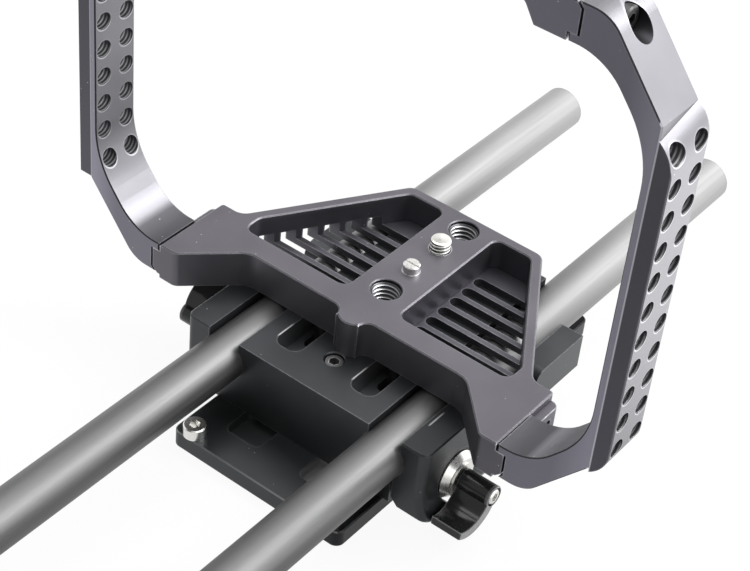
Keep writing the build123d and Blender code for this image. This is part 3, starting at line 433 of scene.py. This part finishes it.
def ground_metal(name, colour, roughness, grain_scale, bump_depth, stretch, lit_rear=None):
    """Satin metal with grinding marks stretched along one axis, paler on outer edges, which
    are worn and carry painted highlights.

    The last argument is the paler colour of painted light on the finish behind the base block,
    where the finish is also made rougher.
    """
    material, shader, place = new_material(name)
    stretched = place.take("ShaderNodeMapping", 0, None, Vector=place, Scale=stretch)
    marks = noise(stretched, grain_scale, 3.0)
    finish = blend(marks.ramp(0.3, 0.7), tuple(0.9 * c for c in colour), colour)
    polish = marks.ramp(0.25, 0.75, roughness - 0.04, roughness + 0.06)
    # Painted light: paler and rougher behind the base block.
    if lit_rear:
        rear_light = past(part_of(place, 1), REAR_LIGHT_MID_Y, REAR_LIGHT_LENGTH)
        finish = blend(rear_light, finish, lit_rear)
        polish = polish + rear_light * 0.22
    # Outer edges: worn metal and painted highlights.
    bare_and_lit = tuple(min(1.0, 2.2 * c) for c in colour)
    rubbed_and_highlit = broken_edges(place, 0.6 * MM) * 0.6
    feed(shader, "Base Color", blend(rubbed_and_highlit, finish, bare_and_lit))
    feed(shader, "Roughness", polish)
    shader.inputs["Metallic"].default_value = 1.0
    set_bump(shader, place, marks, 0.2, bump_depth)
    return material


rod_grey = ground_metal(
    "rod_grey", (0.175, 0.175, 0.175), roughness=0.5, grain_scale=900.0,
    bump_depth=0.03 * MM, stretch=(1.0, 0.02, 1.0), lit_rear=(0.36, 0.36, 0.36),
)
paint(rod_grey, "left_rod", "right_rod")

# ------------------------------------------------------------------------------------
# Small turned pieces in bright steel: the locating pin, the clamp washers and screws,
# the stop screws, and the spring clip that keeps the camera screw in its bore.

bright_steel = ground_metal(
    "bright_steel", (0.86, 0.85, 0.82), roughness=0.28, grain_scale=1500.0,
    bump_depth=0.02 * MM, stretch=(1.0, 1.0, 1.0),
)
paint(bright_steel, "locating_pin", "left_clamp_washer", "right_clamp_washer")
paint(bright_steel, "camera_screw_clip", "left_clamp_screw", "right_clamp_screw")
paint(bright_steel, "stop_screws")

# ------------------------------------------------------------------------------------
# Camera screw: a captive 1/4 inch screw turned from bright steel, with its thread
# rolled up to the domed end. It stands on the origin's axis and turns in the plate.

THREAD_START_Z, THREAD_END_Z = -0.6, 3.55
LIT_SIDE_X = 1.9

camera_thread, thread_shader, thread_place = new_material("camera_thread")
thread_x, thread_y, thread_z = (part_of(thread_place, axis) for axis in range(3))
crests = thread_lines(thread_z, thread_x, thread_y, QUARTER_INCH_PITCH)
threaded = past(thread_z, THREAD_START_Z, 0.4) * short_of(thread_z, THREAD_END_Z, 0.3)
# Painted thread: painted shade in the valleys, lighter on the lit side, and painted highlights
# on the crests.
valley = blend(past(thread_x, LIT_SIDE_X, 1.8), (0.10, 0.10, 0.10), (0.50, 0.49, 0.47))
thread = blend(crests.ramp(0.30, 0.65), valley, (0.88, 0.87, 0.83))
feed(thread_shader, "Base Color", blend(threaded, (0.78, 0.77, 0.73), thread))
feed(thread_shader, "Roughness", crests.ramp(0.0, 1.0, 0.45, 0.22))
thread_shader.inputs["Metallic"].default_value = 1.0
set_bump(thread_shader, thread_place, crests * threaded, 0.8, 0.6 * MM)
paint(camera_thread, "camera_screw")

# ------------------------------------------------------------------------------------
# Clamp levers: zinc wings with a gloss black coat, rubbed pale on their end faces.
# Each turns on its clamp screw and draws its jaw against the rod.

LEVER_END_X = 59.2


def gloss_black(name, colour, roughness):
    """A thick black coat that has flowed a little, worn through on the edges, which also carry
    painted highlights.
    """
    material, shader, place = new_material(name)
    flow = noise(place, 140.0, 1.0)
    coat = blend(flow, colour, tuple(1.3 * c for c in colour))
    end_face = past(abs(part_of(place, 0)), LEVER_END_X, 0.1)
    rubbed_and_highlit = broken_edges(place, 0.5 * MM) * 0.5 + end_face * 0.6
    feed(shader, "Base Color", blend(rubbed_and_highlit, coat, (0.35, 0.35, 0.36)))
    feed(shader, "Roughness", flow.ramp(0.3, 0.7, roughness, roughness + 0.05))
    shader.inputs["Metallic"].default_value = 0.0
    shader.inputs["Specular IOR Level"].default_value = 0.25
    shader.inputs["Coat Weight"].default_value = 0.35
    shader.inputs["Coat Roughness"].default_value = 0.08
    return material


lever_black = gloss_black("lever_black", (0.012, 0.0125, 0.013), roughness=0.17)
paint(lever_black, "left_clamp_lever", "right_clamp_lever")

# ------------------------------------------------------------------------------------
# Fixing screws of the camera plate, the tripod plate and the arms: blackened steel.
# They are sunk in their holes and hold the milled pieces together.

screw_black = anodised_metal(
    "screw_black", dark=(0.05, 0.05, 0.05), light=(0.07, 0.07, 0.07),
    edge=(0.3, 0.3, 0.3), roughness=0.33,
)
paint(screw_black, "plate_fixing_screws", "tripod_plate_screws")
paint(screw_black, "lower_arm_screws", "upper_arm_screws")

# ------------------------------------------------------------------------------------
# Pad set screw: a small socket screw in the base block's pad, of blackened steel, with a
# painted highlight round its rim.

set_screw_highlit = anodised_metal(
    "set_screw_highlit", dark=(0.20, 0.20, 0.20), light=(0.30, 0.30, 0.30),
    edge=(0.95, 0.95, 0.93), roughness=0.3, edge_wear_and_highlight=1.0,
)
paint(set_screw_highlit, "pad_set_screw")

# ------------------------------------------------------------------------------------
# Screw threads in the plate's two 3/8 inch holes: a vee ridge wound down each wall.
# They are tapped into the plate, so they share its black finish.

BIG_HOLE_R = 4.7625
BIG_PITCH = 25.4 / 16
RIDGE_SINK, RIDGE_HEIGHT = 0.05, 0.85
RIDGE_TOP_GAP = 0.9
RIDGE_TURNS = 7
STEPS_PER_TURN = 40
CREST_R = 4.16
CREST_WORN_AND_LIT = (0.6, 0.6, 0.62)


def settle(piece, name, material, body):
    """Name a finished piece, give it its finish and let it ride on its body."""
    piece.name = name
    piece.data.name = name
    piece.data.materials.clear()
    piece.data.materials.append(material)
    bpy.ops.object.select_all(action="DESELECT")
    piece.select_set(True)
    bpy.context.view_layer.objects.active = piece
    bpy.ops.object.transform_apply(location=True, rotation=True, scale=True)
    bpy.ops.object.shade_smooth_by_angle(angle=math.radians(35))
    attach(piece, body)
    piece.select_set(False)


def wound_ridge(wall_r, tip_r, pitch, turns, steps):
    """A vee ridge wound round Z from z = 0 upwards; its wide side lies on wall_r."""
    bpy.ops.mesh.primitive_circle_add(vertices=3, radius=1.0, fill_type="NOTHING")
    ridge = bpy.context.active_object
    half = pitch * 0.46
    places = [(wall_r, -half), (tip_r, 0.0), (wall_r, half)]
    for vertex, (x, z) in zip(ridge.data.vertices, places):
        vertex.co = (x, 0.0, z)
    screw = ridge.modifiers.new("wind", "SCREW")
    screw.axis = "Z"
    screw.angle = 2 * math.pi * turns
    screw.screw_offset = pitch * turns
    screw.steps = int(steps * turns)
    screw.render_steps = int(steps * turns)
    bpy.ops.object.modifier_apply(modifier="wind")
    bpy.ops.object.mode_set(mode="EDIT")
    bpy.ops.mesh.select_all(action="SELECT")
    bpy.ops.mesh.fill_holes(sides=4)
    bpy.ops.mesh.normals_make_consistent(inside=False)
    bpy.ops.object.mode_set(mode="OBJECT")
    return ridge


def ridge_detail(place, colour):
    """The ridges' crests, paler where screws have worn them, with a painted highlight
    strongest on the left.
    """
    x, y = (part_of(place, axis) for axis in range(2))
    for hole_y in BIG_HOLES_Y:
        off = y - hole_y * MM
        crest = inside(x * x + off * off, CREST_R, 0.24)
        rubbed_and_highlit = x.ramp(-3.0 * MM, 3.0 * MM, 0.85, 0.35)
        colour = blend(crest * rubbed_and_highlit, colour, CREST_WORN_AND_LIT)
    return colour


tapped_black = anodised_metal(
    "tapped_black", dark=(0.03, 0.03, 0.033), light=(0.045, 0.045, 0.05),
    edge=(0.8, 0.8, 0.82), roughness=0.35, edge_wear_and_highlight=0.08, detail=ridge_detail,
)
plate_low, plate_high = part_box("camera_plate")
ridge_bottom_z = plate_high.z - (RIDGE_TOP_GAP + RIDGE_TURNS * BIG_PITCH) * MM
for name, y in zip(("front_thread", "rear_thread"), BIG_HOLES_Y):
    ridge = wound_ridge(
        (BIG_HOLE_R + RIDGE_SINK) * MM, (BIG_HOLE_R - RIDGE_HEIGHT) * MM,
        BIG_PITCH * MM, RIDGE_TURNS, STEPS_PER_TURN,
    )
    ridge.location = (0.0, y * MM, ridge_bottom_z)
    settle(ridge, name, tapped_black, "base")

# ------------------------------------------------------------------------------------
# Floor: a pale matt sweep just below the tripod plate, which the eye sees nearly white.
# In reflections it is dim in front and bright behind and on the right.

FLOOR_GAP = 0.4

bpy.ops.mesh.primitive_plane_add(size=6.0, location=(0.0, 0.0, cad_low.z - FLOOR_GAP * MM))
floor = bpy.context.active_object
floor.name = "floor"
floor_look, floor_shader, floor_place = new_material("floor_look")
floor_shader.inputs["Base Color"].default_value = (0.86, 0.86, 0.86, 1.0)
floor_shader.inputs["Roughness"].default_value = 0.9

rays = floor_place.node("ShaderNodeLightPath")
seen = Socket(floor_place.tree, rays.outputs["Is Camera Ray"])
glossy = Socket(floor_place.tree, rays.outputs["Is Glossy Ray"])
across, along = part_of(floor_place, 0), part_of(floor_place, 1)
glow = along.ramp(-0.32, -0.11, 0.4, 0.85) + along.ramp(-0.05, 0.03, 0.0, 0.7)
glow = glow * across.ramp(-0.15, 0.10, 1.25, 0.8)
glow = glow + across.ramp(0.08, 0.2, 0.0, 1.7) * along.ramp(-0.02, 0.06)

white = (1.0, 1.0, 1.0, 1.0)
seen_glow = floor_place.node("ShaderNodeEmission", None, Color=white, Strength=1.0)
mirror_glow = floor_place.node("ShaderNodeEmission", None, Color=white, Strength=glow)
seen_mix = floor_place.node("ShaderNodeMixShader")
mirror_mix = floor_place.node("ShaderNodeMixShader")
out = next(n for n in floor_place.tree.nodes if n.type == "OUTPUT_MATERIAL")
links = floor_place.tree.links
links.new((seen * 0.93).output, seen_mix.inputs[0])
links.new(floor_shader.outputs[0], seen_mix.inputs[1])
links.new(seen_glow.outputs[0], seen_mix.inputs[2])
links.new(glossy.output, mirror_mix.inputs[0])
links.new(seen_mix.outputs[0], mirror_mix.inputs[1])
links.new(mirror_glow.outputs[0], mirror_mix.inputs[2])
links.new(mirror_mix.outputs[0], out.inputs["Surface"])
floor.data.materials.append(floor_look)

# ------------------------------------------------------------------------------------
# Sky and lamps: a white sky that looks even, but mirrors brighter on the right and
# behind than in front, with a large key lamp, a top lamp and a small one behind.

MIRROR_LEAN = (0.8, 0.5, 0.1)
SOFT_LIGHT = 0.55

world = bpy.data.worlds.new("sky")
bpy.context.scene.world = world
world.use_nodes = True
sky_tree = world.node_tree
background = next(n for n in sky_tree.nodes if n.type == "BACKGROUND")
sky_where = Socket(sky_tree, sky_tree.nodes.new("ShaderNodeTexCoord").outputs["Generated"])
sky_rays = sky_where.node("ShaderNodeLightPath")
is_seen = Socket(sky_tree, sky_rays.outputs["Is Camera Ray"])
is_glossy = Socket(sky_tree, sky_rays.outputs["Is Glossy Ray"])
lean = sky_where.take(
    "ShaderNodeVectorMath", "Value", {"operation": "DOT_PRODUCT"},
    i0=sky_where, i1=MIRROR_LEAN,
)
sky_gloss = lean.ramp(0.17, 0.55, 0.58, 1.85)
sky_gloss = sky_gloss + part_of(sky_where, 0).ramp(-0.75, -0.4, 0.4, 0.0)
soft = (1.0 - is_seen) * (1.0 - is_glossy) * SOFT_LIGHT
level = is_seen + is_glossy * sky_gloss + soft
sky_tree.links.new(level.output, background.inputs["Strength"])
background.inputs["Color"].default_value = white


def area_lamp(name, place, aim, size, power):
    """A square lamp at a place, turned to face its aim."""
    data = bpy.data.lights.new(name, "AREA")
    data.size = size
    data.energy = power
    lamp = bpy.data.objects.new(name, data)
    bpy.context.scene.collection.objects.link(lamp)
    lamp.location = place
    toward = Vector(aim) - Vector(place)
    lamp.rotation_euler = toward.to_track_quat("-Z", "Y").to_euler()


area_lamp("key", (0.7, 0.6, 1.0), (0.0, 0.0, 0.03), size=0.8, power=16.0)
area_lamp("top", (-0.3, 0.2, 1.2), (0.0, -0.02, 0.03), size=1.0, power=8.0)
area_lamp("back", (0.10, 0.42, 0.30), (0.03, 0.12, -0.02), size=0.30, power=0.3)

# ------------------------------------------------------------------------------------
# Camera: a long lens, high on the right front, a little turned about its own axis.

eye = bpy.data.cameras.new("eye")
eye.sensor_fit = "HORIZONTAL"
eye.sensor_width = 36.0
eye.lens = 95.135
eye.clip_start = 0.01
eye.clip_end = 20.0
eye_object = bpy.data.objects.new("eye", eye)
bpy.context.scene.collection.objects.link(eye_object)
eye_object.location = (0.25053, -0.40181, 0.37474)
eye_object.rotation_euler = (0.875945, -0.08276, 0.665398)
bpy.context.scene.camera = eye_object
bpy.context.scene.view_settings.view_transform = "Standard"
